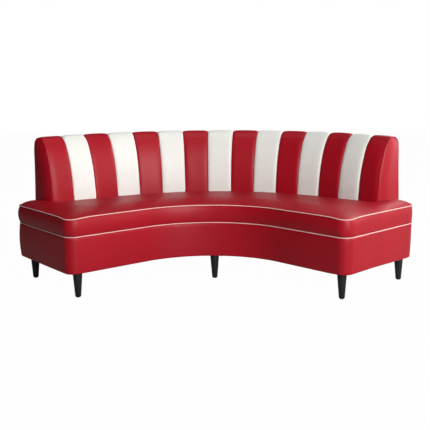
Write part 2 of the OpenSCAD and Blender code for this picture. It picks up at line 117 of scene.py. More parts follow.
def ramp(tree, value, stops):
    made = add_node(tree, "ShaderNodeValToRGB")
    elements = made.color_ramp.elements
    while len(elements) < len(stops):
        elements.new(0.5)
    for element, (place, colour) in zip(elements, stops):
        element.position = place
        element.color = (*colour, 1)
    tree.links.new(value, made.inputs["Fac"])
    return made.outputs["Color"]


def stain(tree, shader, value, stops):
    """Colours the material by a pattern's value."""
    tree.links.new(ramp(tree, value, stops), shader.inputs["Base Color"])


def emboss(tree, shader, height, strength, deep):
    """Presses a pattern into the material's face."""
    relief = add_node(tree, "ShaderNodeBump", Strength=strength, Distance=deep)
    tree.links.new(height, relief.inputs["Height"])
    tree.links.new(relief.outputs["Normal"], shader.inputs["Normal"])


def dress(piece, material):
    piece.data.materials.clear()
    piece.data.materials.append(material)


plywood, tree, shader = new_material("birch_plywood")
grain = add_node(tree, "ShaderNodeTexNoise", Scale=9.0, Detail=6.0, Roughness=0.6)
tree.links.new(object_point(tree, (1, 14, 14)), grain.inputs["Vector"])
stain(tree, shader, grain.outputs["Fac"], [(0.3, (0.52, 0.36, 0.2)), (0.7, (0.72, 0.54, 0.33))])
emboss(tree, shader, grain.outputs["Fac"], 0.4, 0.0004)
shader.inputs["Roughness"].default_value = 0.7
for name in wood_nodes:
    dress(nodes[name], plywood)

# Foam
# Blocks and sheets of yellowish polyether foam, cut to shape and glued to the deck, the
# rails and the slats. Open cells give them a dull pitted face.
foam, tree, shader = new_material("cut_foam")
cells = add_node(tree, "ShaderNodeTexVoronoi", Scale=900.0)
tree.links.new(object_point(tree), cells.inputs["Vector"])
stain(tree, shader, cells.outputs["Distance"], [(0.0, (0.62, 0.5, 0.26)), (0.6, (0.83, 0.74, 0.46))])
emboss(tree, shader, cells.outputs["Distance"], 0.8, 0.0005)
shader.inputs["Roughness"].default_value = 0.95
for name in ["base_padding", "seat_foam", "back_foam"]:
    dress(nodes[name], foam)

# Vinyls
# Smooth glossy upholstery vinyl in red, white and, for the cords, a white that takes up
# some red. It is embossed with a very fine grain and has a thin clear finish.
vinyl_face = bpy.data.node_groups.new("vinyl_face", "ShaderNodeTree")
vinyl_face.interface.new_socket("Grain Scale", in_out="INPUT", socket_type="NodeSocketFloat")
vinyl_face.interface.new_socket("Grain", in_out="OUTPUT", socket_type="NodeSocketFloat")
vinyl_face.interface.new_socket("Mottle", in_out="OUTPUT", socket_type="NodeSocketFloat")
vinyl_face.interface.new_socket("Handling", in_out="OUTPUT", socket_type="NodeSocketFloat")
group_in = vinyl_face.nodes.new("NodeGroupInput")
group_out = vinyl_face.nodes.new("NodeGroupOutput")
point = object_point(vinyl_face)
pebbles = add_node(vinyl_face, "ShaderNodeTexVoronoi", feature="SMOOTH_F1", Smoothness=0.35)
pores = add_node(vinyl_face, "ShaderNodeTexNoise", Detail=3.0, Roughness=0.55)
mottle = add_node(vinyl_face, "ShaderNodeTexNoise", Scale=5.0, Detail=3.0, Roughness=0.5)
handling = add_node(vinyl_face, "ShaderNodeTexNoise", Scale=38.0, Detail=5.0, Roughness=0.7)
finer = add_node(vinyl_face, "ShaderNodeMath", operation="MULTIPLY")
finer.inputs[1].default_value = 0.35
both = add_node(vinyl_face, "ShaderNodeMath", operation="ADD")
for texture in (pebbles, pores, mottle, handling):
    vinyl_face.links.new(point, texture.inputs["Vector"])
vinyl_face.links.new(group_in.outputs["Grain Scale"], pebbles.inputs["Scale"])
vinyl_face.links.new(group_in.outputs["Grain Scale"], finer.inputs[0])
vinyl_face.links.new(finer.outputs[0], pores.inputs["Scale"])
vinyl_face.links.new(pebbles.outputs["Distance"], both.inputs[0])
vinyl_face.links.new(pores.outputs["Fac"], both.inputs[1])
vinyl_face.links.new(both.outputs[0], group_out.inputs["Grain"])
vinyl_face.links.new(mottle.outputs["Fac"], group_out.inputs["Mottle"])
vinyl_face.links.new(handling.outputs["Fac"], group_out.inputs["Handling"])


def vinyl(name, dark, light, gloss, dull):
    material, tree, shader = new_material(name)
    face = add_node(tree, "ShaderNodeGroup")
    face.node_tree = vinyl_face
    face.inputs["Grain Scale"].default_value = 620.0
    stain(tree, shader, face.outputs["Mottle"], [(0.3, dark), (0.7, light)])
    sheen = add_node(tree, "ShaderNodeMapRange")
    sheen.inputs["From Min"].default_value = 0.3
    sheen.inputs["From Max"].default_value = 0.7
    sheen.inputs["To Min"].default_value = gloss
    sheen.inputs["To Max"].default_value = dull
    tree.links.new(face.outputs["Handling"], sheen.inputs["Value"])
    tree.links.new(sheen.outputs["Result"], shader.inputs["Roughness"])
    emboss(tree, shader, face.outputs["Grain"], 0.25, 0.00012)
    shader.inputs["Specular IOR Level"].default_value = 0.24
    shader.inputs["Coat Weight"].default_value = 0.06
    shader.inputs["Coat Roughness"].default_value = 0.30
    return material


red_vinyl = vinyl("red_vinyl", (0.32, 0.0016, 0.0095), (0.355, 0.0024, 0.0115), 0.44, 0.52)
white_vinyl = vinyl("white_vinyl", (0.735, 0.735, 0.69), (0.78, 0.78, 0.74), 0.40, 0.48)
cord_vinyl = vinyl("piping_vinyl", (0.80, 0.47, 0.45), (0.86, 0.54, 0.51), 0.30, 0.38)

# Seat cushion, top
# The seat's top is one sheet of red vinyl over wadding and a foam block, sewn to the side
# band and the cord all round. It crowns over the middle and is drawn in at the seam.
front_r = 0.530
turn = math.radians(43)
wing = 0.460
depth = 0.662
centre_y = -0.646383
mid_r = front_r + depth / 2
mid_half = mid_r * turn + wing
front_corner_r = 0.054
rear_corner_r = {-1: 0.074, 1: 0.090}
base_z = 0.331
boxing_z = 0.430
crown = 0.022
crown_w = 0.130
back_front = 0.482
back_rear = 0.674
back_r = front_r + back_front
end_in = 0.140
back_wing = wing - end_in
back_half = back_r * turn + back_wing
panel_t = 0.014


def on_plan(run, back, radius):
    """Place on the plan: run along the line of that radius, back behind the front line."""
    angle = np.clip(run / radius, -turn, turn)
    straight = np.maximum(np.abs(run) - radius * turn, 0)
    reach = front_r + back
    return (reach * np.sin(angle) + np.sign(run) * straight * np.cos(angle),
            centre_y + reach * np.cos(angle) - straight * np.abs(np.sin(angle)))


droop_deep, droop_in, droop_spread = 0.0075, 0.022, 0.062


def droop(run, back):
    """How far the top seam hangs lower at the two front corners."""
    away = (np.abs(run) - mid_half + droop_in) ** 2 + (back - droop_in) ** 2
    return droop_deep * np.exp(-away / droop_spread ** 2)


def mesh_piece(name, points, faces, material):
    data = bpy.data.meshes.new(name)
    data.from_pydata([tuple(map(float, p)) for p in points], [], faces)
    data.update()
    data.validate()
    made = bpy.data.objects.new(name, data)
    scene.collection.objects.link(made)
    dress(made, material)
    for face in data.polygons:
        face.use_smooth = True
    return made


def get_points(piece):
    flat = np.empty(len(piece.data.vertices) * 3)
    piece.data.vertices.foreach_get("co", flat)
    return flat.reshape(-1, 3)


def set_points(piece, points):
    piece.data.vertices.foreach_set("co", np.asarray(points, dtype=float).ravel())
    piece.data.update()


def grid_faces(rows, columns, closed=False, first=0):
    faces = []
    for i in range(rows - 1):
        for j in range(columns if closed else columns - 1):
            k = (j + 1) % columns
            faces.append((first + i * columns + j, first + i * columns + k,
                          first + (i + 1) * columns + k, first + (i + 1) * columns + j))
    return faces


def apply_modifier(piece, modifier):
    bpy.ops.object.select_all(action="DESELECT")
    piece.select_set(True)
    bpy.context.view_layer.objects.active = piece
    bpy.ops.object.modifier_apply(modifier=modifier.name)


def give_wall(piece, thickness):
    """Gives the vinyl its thickness, inwards from its face."""
    wall = piece.modifiers.new("wall", "SOLIDIFY")
    wall.thickness = thickness
    wall.offset = -1
    apply_modifier(piece, wall)


def finish_mesh(piece, levels):
    """Applies a subdivision and shades the faces smooth."""
    smooth = piece.modifiers.new("smooth", "SUBSURF")
    smooth.levels = levels
    smooth.render_levels = levels
    apply_modifier(piece, smooth)
    for face in piece.data.polygons:
        face.use_smooth = True


def inflate(piece, held, pressure, reach):
    """Blows the piece up as cloth, held at some of its points, and keeps it within reach of its rest."""
    stiffness, frames = 15.0, 20
    rest = get_points(piece)
    group = piece.vertex_groups.new(name="held")
    group.add([int(i) for i in held], 1.0, "REPLACE")
    cloth = piece.modifiers.new("cloth", "CLOTH")
    cloth.settings.quality = 5
    cloth.settings.mass = 0.3
    cloth.settings.tension_stiffness = stiffness
    cloth.settings.compression_stiffness = stiffness
    cloth.settings.shear_stiffness = stiffness / 3
    cloth.settings.bending_stiffness = 0.5
    cloth.settings.use_pressure = True
    cloth.settings.uniform_pressure_force = pressure
    cloth.settings.effector_weights.gravity = 0
    cloth.settings.vertex_group_mass = "held"
    cloth.point_cache.frame_start = 1
    cloth.point_cache.frame_end = frames
    for number in range(1, frames + 1):
        scene.frame_set(number)
    blown = piece.evaluated_get(bpy.context.evaluated_depsgraph_get())
    flat = np.empty(len(blown.data.vertices) * 3)
    blown.data.vertices.foreach_get("co", flat)
    push = flat.reshape(-1, 3) - rest
    length = np.linalg.norm(push, axis=1)
    push *= np.minimum(1, reach / np.maximum(length, 1e-9))[:, None]
    piece.modifiers.remove(cloth)
    piece.vertex_groups.remove(piece.vertex_groups["held"])
    set_points(piece, rest + push)
    scene.frame_set(1)


columns, rows = 181, 55
edge, seam_lift = 0.0018, 0.0008
seam_z = boxing_z + seam_lift
half_run = mid_half - edge
run, back = np.meshgrid(np.linspace(-half_run, half_run, columns), np.linspace(edge, depth - edge, rows))
inside = np.minimum.reduce([half_run - np.abs(run), back - edge, depth - edge - back])
rear_r = np.where(run < 0, rear_corner_r[-1], rear_corner_r[1])
for corner_r, side in ((np.full(run.shape, front_corner_r), -1), (rear_r, 1)):
    radius = corner_r - edge
    corner_back = corner_r if side < 0 else depth - corner_r
    corner_run = half_run - radius
    over = np.abs(run) - corner_run
    past = (back - corner_back) * side
    at_corner = (over > 0) & (past > 0)
    ring = np.maximum(over, past)
    with np.errstate(divide="ignore", invalid="ignore"):
        bend = np.where(over >= past, math.pi / 4 * past / over, math.pi / 2 - math.pi / 4 * over / past)
    inside = np.where(at_corner, radius - ring, inside)
    new_run = np.sign(run) * (corner_run + ring * np.cos(bend))
    new_back = corner_back + side * ring * np.sin(bend)
    run, back = np.where(at_corner, new_run, run), np.where(at_corner, new_back, back)
x, y = on_plan(run, back, mid_r)
share = np.clip(inside / crown_w, 0, 1)
crown_power, flat_power = 2.4, 0.75
rise = crown * (1 - (1 - share) ** crown_power) ** flat_power
back_run = np.abs(run) - (mid_half - end_in)
under_front, under_side, under_lift = 0.012, 0.004, 0.003
under_back = (back > back_front + under_front) & (back_run < -under_side)
beside_w, beside_from, beside_fade = 0.06, 0.22, 0.25
beside_back = np.clip((back_run + beside_w / 2) / beside_w, 0, 1)
beside_back = beside_back * np.clip((back - beside_from) / beside_fade, 0, 1)
seat_share, beside_share = 0.62, 0.65
crowned = seam_z + (seat_share + beside_share * beside_back) * rise
z = np.where(under_back, seam_z + under_lift, crowned) - droop(run, back)
seat_points = np.stack([x, y, z], -1).reshape(-1, 3)
seat = mesh_piece("seat_cushion_top", seat_points, grid_faces(rows, columns), red_vinyl)
held = np.flatnonzero(((inside < 1e-6) | under_back).ravel())
inflate(seat, held, pressure=4.0, reach=0.014)
finish_mesh(seat, 1)
shape = bmesh.new()
shape.from_mesh(seat.data)
rim_t = 0.0038
rim = [e for e in shape.edges if e.is_boundary]
below = bmesh.ops.extrude_edge_only(shape, edges=rim)["geom"]
for v in (g for g in below if isinstance(g, bmesh.types.BMVert)):
    v.co.z -= rim_t
lower_rim = [e for e in below if isinstance(e, bmesh.types.BMEdge) and e.is_boundary]
bmesh.ops.triangle_fill(shape, edges=lower_rim, use_beauty=True, use_dissolve=False)
bmesh.ops.recalc_face_normals(shape, faces=shape.faces)
shape.to_mesh(seat.data)
shape.free()
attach(seat, "root")
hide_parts("seat_top")

# Seat cushion, side band
# A red band of vinyl over foam goes round the seat between the two cords. It is sewn to
# both and swells out between them.
segments = {
    "front": 72, "wing_front": 33, "front_corner": 10, "end": 46,
    "rear_corner": 14, "wing_rear": 35, "rear": 144
}


def outline(inset, hem=None):
    """Closed loop on the unrolled seat, drawn in by inset; hem draws the rear in further."""
    rear_in = inset if hem is None else hem
    length = mid_half - inset
    low, high = inset, depth - rear_in
    bend = mid_r * turn
    front_round = max(front_corner_r - inset, front_corner_r / 8)

    def line(start, end, count):
        return [np.array(start) + (np.array(end) - np.array(start)) * i / count for i in range(count)]

    def arc(middle, radius, angle, count):
        turns = [angle + math.pi / 2 * i / count for i in range(count)]
        return [np.array(middle) + radius * np.array([math.cos(t), math.sin(t)]) for t in turns]

    def half(side):
        rear_round = max(rear_corner_r[side] - max(inset, rear_in), rear_corner_r[side] / 8)
        points = line((0, low), (bend, low), segments["front"] // 2)
        points += line((bend, low), (length - front_round, low), segments["wing_front"])
        points += arc((length - front_round, low + front_round), front_round, -math.pi / 2,
                      segments["front_corner"])
        points += line((length, low + front_round), (length, high - rear_round), segments["end"])
        points += arc((length - rear_round, high - rear_round), rear_round, 0, segments["rear_corner"])
        points += line((length - rear_round, high), (bend, high), segments["wing_rear"])
        points += line((bend, high), (0, high), segments["rear"] // 2)
        return np.array(points) * [side, 1]

    return np.concatenate([half(1), [[0, high]], half(-1)[1:][::-1]])


def ring_points(inset, out, z, hem=None):
    """Points of that loop on the plan, moved out along its normals, at the height z."""
    loop = outline(inset, hem)
    x, y = on_plan(loop[:, 0], loop[:, 1], mid_r)
    ahead_x, ahead_y = np.roll(x, -1) - np.roll(x, 1), np.roll(y, -1) - np.roll(y, 1)
    size = np.hypot(ahead_x, ahead_y)
    return np.stack([x + out * ahead_y / size, y - out * ahead_x / size, np.broadcast_to(z, x.shape)], -1)


seam_in, seam_turn, seam_rise = 0.0030, 0.0005, 0.0009
cord_room = 0.0026
low_z, high_z = base_z + cord_room, boxing_z - cord_room
band_out, band_steps = 0.0075, 9
band_rows = [(-seam_in, base_z + seam_rise), (-seam_turn, low_z)]
for i in range(1, band_steps):
    out = band_out * math.sin(math.pi * i / band_steps) ** 0.7
    band_rows.append((out, low_z + (high_z - low_z) * i / band_steps))
band_rows += [(-seam_turn, high_z), (-seam_in, boxing_z - seam_rise)]
loop = outline(0)
hang = droop(loop[:, 0], loop[:, 1])
end_from, end_fade, front_fade = 0.12, 0.10, 0.25
at_end = np.clip((np.abs(loop[:, 0]) - mid_half + end_from) / end_fade, 0, 1)
at_end = at_end * np.clip(loop[:, 1] / front_fade, 0, 1)
left_share, right_share = 0.5, -0.6
swell = 1 + np.where(loop[:, 0] < 0, left_share, right_share) * at_end
loops = np.array([
    ring_points(0, out * swell, z - hang * (z - base_z) / (boxing_z - base_z)) for out, z in band_rows])
count = loops.shape[1]
band_faces = grid_faces(len(band_rows), count, closed=True)
band = mesh_piece("seat_side_band", loops.reshape(-1, 3), band_faces, red_vinyl)
held = list(range(2 * count)) + list(range((len(band_rows) - 2) * count, len(band_rows) * count))
inflate(band, held, pressure=4.0, reach=0.007)
give_wall(band, 0.007)
finish_mesh(band, 1)
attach(band, "root")
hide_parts("seat_boxing")

# Base skirt
# Red vinyl is stretched over thin padding round the base, from the lower cord down, and
# turned under and stapled. Under the rear it follows the frame's rounded corner.
leg_z = 0.140
tuck_r = 0.056


def under_z(back):
    over = np.clip(back - (depth - tuck_r), 0, tuck_r)
    return leg_z + tuck_r - np.sqrt(tuck_r ** 2 - over ** 2)


skirt_out = 0.0042
upper_roll, fold_up, fold_down, fold_in = 0.024, 0.002, 0.0014, 0.0012
wall_rows = [
    (-0.0030, -0.0010), (0.0000, -0.0028), (0.0024, -0.0066), (0.0037, -0.0130), (skirt_out, -0.0220)]
foot_z = under_z(loop[:, 1])
left_swell, right_swell = 0.001, -0.0045
swell = np.where(loop[:, 0] < 0, left_swell, right_swell) * at_end
bulge = np.where(loop[:, 0] < 0, skirt_out, 0) * at_end
at_right = np.clip((loop[:, 0] - mid_half + 0.11) / 0.08, 0, 1)
hem_higher = 0.0045
higher = hem_higher * at_right * np.clip((0.50 - loop[:, 1]) / 0.25, 0, 1)
loops = []
for out, drop in wall_rows:
    loops.append(ring_points(0, out + swell * min(1, -drop / 0.02), base_z + drop))
for share in (0.1, 0.2, 0.3, 0.4, 0.5, 0.6, 0.7, 0.8, 0.9):
    z = (base_z - upper_roll) * (1 - share) + (foot_z + fold_up + higher) * share
    out = skirt_out - skirt_out * share ** 2 + swell * (1 + 0.5 * share)
    out = out + bulge * math.sin(math.pi * share)
    loops.append(ring_points(0, out, z))
foot_swell = 1.5 * swell
loops.append(ring_points(0, foot_swell, foot_z + fold_up + higher))
loops.append(ring_points(0, foot_swell - fold_in, foot_z - fold_down + higher))
tuck_in = 0.026
for inset, drop in ((0.0045, 0.0030), (0.010, 0.0034), (0.018, 0.0018), (tuck_in, 0.0)):
    spread = outline(inset)
    z = under_z(spread[:, 1]) - drop + higher * drop / hem_higher
    loops.append(ring_points(inset, foot_swell * (1 - inset / tuck_in), z))
for inset, hem in ((0.027, 0.036), (0.028, 0.048), (0.029, 0.060), (0.0295, 0.078), (0.030, 0.096)):
    spread = outline(inset, hem)
    loops.append(ring_points(inset, 0, under_z(spread[:, 1]), hem))
loops = np.array(loops)
skirt_faces = grid_faces(loops.shape[0], loops.shape[1], closed=True)
skirt = mesh_piece("base_skirt", loops.reshape(-1, 3), skirt_faces, red_vinyl)
shape = bmesh.new()
shape.from_mesh(skirt.data)
bmesh.ops.reverse_faces(shape, faces=shape.faces)
shape.to_mesh(skirt.data)
shape.free()
give_wall(skirt, 0.0015)
finish_mesh(skirt, 1)
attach(skirt, "root")
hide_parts("base_cover", "base_padding")

# Cords
# Two cords, 5 mm thick and covered in pale vinyl, are sewn into the seams above and below
# the side band. They stand just proud of the base.
cord_r = 0.0025
cord_out = 0.0014
cords = [("piping_cord_top", "piping_top", boxing_z), ("piping_cord_low", "piping_low", base_z)]
for name, node, height in cords:
    bpy.ops.object.select_all(action="DESELECT")
    bpy.ops.mesh.primitive_circle_add(vertices=len(loop), radius=1, location=(0, 0, 0))
    cord = bpy.context.active_object
    cord.name = name
    set_points(cord, ring_points(0, cord_out, height - (hang if height == boxing_z else 0)))
    bpy.ops.object.convert(target="CURVE")
    cord.data.bevel_depth = cord_r
    cord.data.bevel_resolution = 3
    bpy.ops.object.convert(target="MESH")
    for face in cord.data.polygons:
        face.use_smooth = True
    dress(cord, cord_vinyl)
    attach(cord, "root")
    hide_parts(node)

# Back channels
# Fifteen channels, eight red and seven white, are sewn side by side, stuffed with foam and
# stretched over the bent back. Each is flat on its crest and turns in sharply at its seams.
profile_n = 1.8
back_z = 0.4331
back_top = 0.818
top_round = 0.040
crown_u = back_rear - top_round
fine_steps = 400
angle = np.linspace(0, math.pi / 2, fine_steps)
curve = np.stack([crown_u - (crown_u - back_front) * np.cos(angle) ** (2 / profile_n),
                  back_z + (back_top - back_z) * np.sin(angle) ** (2 / profile_n)], -1)
angle = np.linspace(0, math.pi / 2, 60)[1:]
over = np.stack([crown_u + top_round * np.sin(angle), back_top - top_round + top_round * np.cos(angle)], -1)
tail = np.array([[back_rear, back_top - top_round - 0.005], [back_rear, back_top - top_round - 0.010]])
curve = np.concatenate([curve, over, tail])
length = np.concatenate([[0], np.cumsum(np.linalg.norm(np.diff(curve, axis=0), axis=1))])
steps = 46
even = np.linspace(0, length[-1], steps)
profile = np.stack([np.interp(even, length, curve[:, 0]), np.interp(even, length, curve[:, 1])], -1)
along = np.gradient(profile, axis=0)
along /= np.linalg.norm(along, axis=1)[:, None]
outward = np.stack([-along[:, 1], along[:, 0]], -1)
channel_t = 0.034
tail_t = 0.007
front_length = length[fine_steps - 1]
over_share = np.clip((even - front_length) / (math.pi / 2 * top_round), 0, 1)
thickness = channel_t + (tail_t - channel_t) * over_share
flute = 0.010
channel_count = 15
pitch = 2 * back_half / channel_count
half_shares = np.array([0.22, 0.45, 0.66, 0.8, 0.89, 0.95, 0.985, 1])
across = np.concatenate([-half_shares[::-1], [0], half_shares])


crest_power = 6
arch_middle, arch_tilt, arch_ends = 0.008, 0.003, 0.013
end_seam, seam_fade_share = 0.009, 0.8


def puff(v):
    """A channel's section: flat on the crest, steep at the seams."""
    return np.sqrt(np.maximum(1 - np.abs(v) ** crest_power, 0))


def arched(run, height):
    """Height on the back, whose top line is slightly arched along the run."""
    t = run / back_half
    lift = arch_middle - arch_tilt * t - arch_ends * t ** 2
    return height + lift * (height - back_z) / (back_top - back_z)


def seam_depth(height):
    """How deep the two end seams lie, less near the top."""
    near_top = np.clip((height - back_z) / (back_top - back_z) / 0.3 - 2.333, 0, 1)
    return end_seam * (1 - seam_fade_share * near_top)


seam_gap = 0.0002
for i in range(channel_count):
    first, final = i == 0, i == channel_count - 1
    start = -back_half + i * pitch + (panel_t if first else 0)
    end = -back_half + (i + 1) * pitch - (panel_t if final else 0)
    middle, half = (start + end) / 2, (end - start) / 2 - seam_gap
    rings = []
    for k in range(steps):
        fold = flute * thickness[k] / channel_t * (1 - puff(across))
        near_seam = np.clip((np.abs(across) - 0.45) / 0.55, 0, 1)
        rolled = seam_depth(profile[k][1]) * thickness[k] / channel_t * near_seam ** 2
        if first:
            fold = np.where(across < 0, rolled, fold)
        if final:
            fold = np.where(across > 0, rolled, fold)
        right_side = fold[-1] + (thickness[k] - fold[-1]) * 0.4
        left_side = fold[0] + (thickness[k] - fold[0]) * 0.4
        depths = np.concatenate([fold, [right_side, thickness[k], thickness[k], thickness[k], left_side]])
        places = np.concatenate([across, [1, 1, 0, -1, -1]]) * half + middle
        section = profile[k][None, :] - depths[:, None] * outward[k][None, :]
        x, y = on_plan(places, section[:, 0], back_r)
        rings.append(np.stack([x, y, arched(places, section[:, 1])], -1))
    rings = np.array(rings)
    count = rings.shape[1]
    faces = [tuple(reversed(f)) for f in grid_faces(steps, count, closed=True)]
    faces.append(tuple(range(count)))
    faces.append(tuple(reversed(range((steps - 1) * count, steps * count))))
    colour = red_vinyl if i % 2 == 0 else white_vinyl
    channel = mesh_piece(f"back_channel_{i + 1:02d}", rings.reshape(-1, 3), faces, colour)
    sewn = [0] + list(range(len(across) - 1, count))
    held = [k * count + j for k in range(steps) for j in range(count) if j in sewn or k in (0, steps - 1)]
    inflate(channel, held, pressure=2.0, reach=0.0025)
    finish_mesh(channel, 1)
    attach(channel, "root")
    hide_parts(f"channel_{i + 1:02d}")

# End panels of the back
# A padded red panel closes each end of the back. It is cut to the back's side profile,
# sewn to the outer channel along its edge, and domed a little by its wadding.
rise_steps, over_steps, drop_steps, rim_steps = 34, 10, 22, 84
lean = np.linspace(0, math.pi / 2, rise_steps)
rim = [np.stack([crown_u - (crown_u - back_front) * np.cos(lean) ** (2 / profile_n),
                 back_z + (back_top - back_z) * np.sin(lean) ** (2 / profile_n)], -1)]
bow = np.linspace(0, math.pi / 2, over_steps)[1:]
rim.append(np.stack([crown_u + top_round * np.sin(bow), back_top - top_round + top_round * np.cos(bow)], -1))
drop = np.linspace(back_top - top_round, back_z, drop_steps)[1:]
rim.append(np.stack([np.full(drop_steps - 1, back_rear), drop], -1))
rim = np.concatenate(rim)
length = np.concatenate([[0], np.cumsum(np.linalg.norm(np.diff(rim, axis=0), axis=1))])
even = np.linspace(0, length[-1], rim_steps)
rim = np.stack([np.interp(even, length, rim[:, 0]), np.interp(even, length, rim[:, 1])], -1)
along_rim = np.gradient(rim, axis=0)
along_rim /= np.linalg.norm(along_rim, axis=1)[:, None]
normal = np.stack([-along_rim[:, 1], along_rim[:, 0]], -1)
above_round = np.maximum(rim[:, 1] - back_top + top_round, 1e-6)
over_top = np.clip(np.arctan2(rim[:, 0] - crown_u, above_round) / (math.pi / 2), 0, 1)
rim = rim - (seam_depth(rim[:, 1]) * (1 - seam_fade_share * over_top))[:, None] * normal
core, core_below = 0.588, 0.11
panel_depth = {-1: 0.028, 1: 0.027}
rear_roll = {-1: 0.007, 1: 0.015}
edge_roll, dome_w, dome_power = 0.006, 0.115, 2.8
lower_share, roll_share, dome_share = 0.14, 0.12, 0.88
front_rim = rim[over_top <= 0]


def panel_out(section, full, rear_edge):
    """How far the panel's face stands out: rolled at its edges, domed from the front edge."""
    front = np.sqrt(((section[:, None, :] - front_rim[None, :, :]) ** 2).sum(-1)).min(1)
    edge_in = np.sqrt(((section[:, None, :] - rim[None, :, :]) ** 2).sum(-1)).min(1)
    roll = np.sqrt(1 - (1 - np.clip(front / edge_roll, 0, 1)) ** 2)
    dome = 1 - (1 - np.clip(front / dome_w, 0, 1)) ** dome_power
    rear = np.sqrt(1 - (1 - np.clip(edge_in / rear_edge, 0, 1)) ** 2)
    lower = 1 + lower_share * (1 - (section[:, 1] - back_z) / (back_top - back_z))
    return full * lower * np.minimum(roll_share * roll + dome_share * dome, rear)


for side, node in ((-1, "back_end_left"), (1, "back_end_right")):
    loops = []
    for out, inset in ((-0.006, 0.0015), (-0.002, -0.0004)):
        loops.append((rim - inset * normal, np.full(len(rim), out)))
    for inset in (0.0, 0.0006, 0.0016, 0.0032, 0.0055, 0.0085, 0.013):
        section = rim - inset * normal
        loops.append((section, panel_out(section, panel_depth[side], rear_roll[side])))
    face = loops[-1][0]
    level = np.clip((face[:, 1] + face[::-1, 1]) / 2, back_z, back_top - core_below)
    hub = np.stack([np.full(len(face), core), level], -1)
    for share in (0.07, 0.16, 0.28, 0.42, 0.56, 0.7, 0.84, 0.93):
        section = face * (1 - share) + hub * share
        loops.append((section, panel_out(section, panel_depth[side], rear_roll[side])))
    points = []
    for section, out in loops:
        section[:, 1] = np.maximum(section[:, 1], back_z)
        place = side * (back_half - panel_t + out)
        x, y = on_plan(place, section[:, 0], back_r)
        points.append(np.stack([x, y, arched(place, section[:, 1])], -1))
    count = len(rim)
    name = "end_panel_left" if side < 0 else "end_panel_right"
    last = (len(loops) - 1) * count
    middle = [(last + j, last + j + 1, last + count - 2 - j, last + count - 1 - j)
              for j in range(count // 2 - 1)]
    panel_faces = grid_faces(len(loops), count) + middle
    panel = mesh_piece(name, np.concatenate(points), panel_faces, red_vinyl)
    foot_row = (0, 1, count - 2, count - 1)
    held = list(range(3 * count)) + [k * count + j for k in range(len(loops)) for j in foot_row]
    inflate(panel, held, pressure=2.0, reach=0.002)
    shape = bmesh.new()
    shape.from_mesh(panel.data)
    bmesh.ops.remove_doubles(shape, verts=shape.verts, dist=0.00005)
    bmesh.ops.holes_fill(shape, edges=[e for e in shape.edges if e.is_boundary], sides=0)
    bmesh.ops.recalc_face_normals(shape, faces=shape.faces)
    shape.to_mesh(panel.data)
    shape.free()
    finish_mesh(panel, 1)
    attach(panel, "root")
    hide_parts(node)

# Rear of the back
# The rear is red vinyl over thin wadding on a bent plywood sheet, stapled under the
# channels' tails. It is plain and nearly flat.
rear_half = back_half - panel_t
columns, rows = 150, 26
rear_top = back_top - top_round - 0.0105
run, height = np.meshgrid(np.linspace(-rear_half, rear_half, columns), np.linspace(back_z, rear_top, rows))
edge_in = np.minimum.reduce([rear_half - np.abs(run), height - back_z, rear_top - height])
rear_swell, rear_fade, rear_in, rear_t = 0.003, 0.03, 0.004, 0.007
swell = rear_swell * np.clip(edge_in / rear_fade, 0, 1) ** 0.5
points = []
for surface in (back_rear - rear_in + swell, np.full(run.shape, back_rear - rear_t)):
    x, y = on_plan(run, surface, back_r)
    points.append(np.stack([x, y, arched(run, height)], -1).reshape(-1, 3))
outer = grid_faces(rows, columns)
inner = [tuple(reversed(f)) for f in grid_faces(rows, columns, first=rows * columns)]
rim = list(range(columns)) + [i * columns + columns - 1 for i in range(1, rows)]
rim += [(rows - 1) * columns + j for j in range(columns - 2, -1, -1)]
rim += [i * columns for i in range(rows - 2, 0, -1)]
sides = [(a, a + rows * columns, b + rows * columns, b) for a, b in zip(rim, rim[1:] + rim[:1])]
rear = mesh_piece("back_rear_vinyl", np.concatenate(points), outer + inner + sides, red_vinyl)
shape = bmesh.new()
shape.from_mesh(rear.data)
bmesh.ops.recalc_face_normals(shape, faces=shape.faces)
shape.to_mesh(rear.data)
shape.free()
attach(rear, "root")
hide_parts("back_rear_cover")

# Cloth under the base
# Black non-woven cloth closes the underside and is stapled under the vinyl's hem.
dust_cloth, tree, shader = new_material("dust_cloth")
fibres = add_node(tree, "ShaderNodeTexNoise", Scale=700.0, Detail=4.0, Distortion=1.5)
tree.links.new(object_point(tree), fibres.inputs["Vector"])
stain(tree, shader, fibres.outputs["Fac"], [(0.35, (0.008, 0.008, 0.009)), (0.65, (0.03, 0.03, 0.032))])
emboss(tree, shader, fibres.outputs["Fac"], 0.6, 0.0003)
shader.inputs["Roughness"].default_value = 0.9
hem_in = 0.0303
hem_back = depth - tuck_r - 0.0403
cloth_z = leg_z + 0.0005
columns, rows = 141, 41
cloth_run, cloth_back = np.meshgrid(np.linspace(-1, 1, columns), np.linspace(0, 1, rows))
cloth_back = hem_in + cloth_back * (hem_back - hem_in)
corner_in = front_corner_r - hem_in
into = np.clip(front_corner_r - cloth_back, 0, corner_in)
cloth_run = cloth_run * (mid_half - hem_in - (corner_in - np.sqrt(np.maximum(corner_in ** 2 - into ** 2, 0))))
x, y = on_plan(cloth_run, cloth_back, mid_r)
sheet_points = np.stack([x, y, np.full(x.shape, cloth_z)], -1).reshape(-1, 3)
cloth_faces = [tuple(reversed(f)) for f in grid_faces(rows, columns)]
under_cloth = mesh_piece("dust_cloth", sheet_points, cloth_faces, dust_cloth)
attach(under_cloth, "root")
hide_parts("dust_cover")

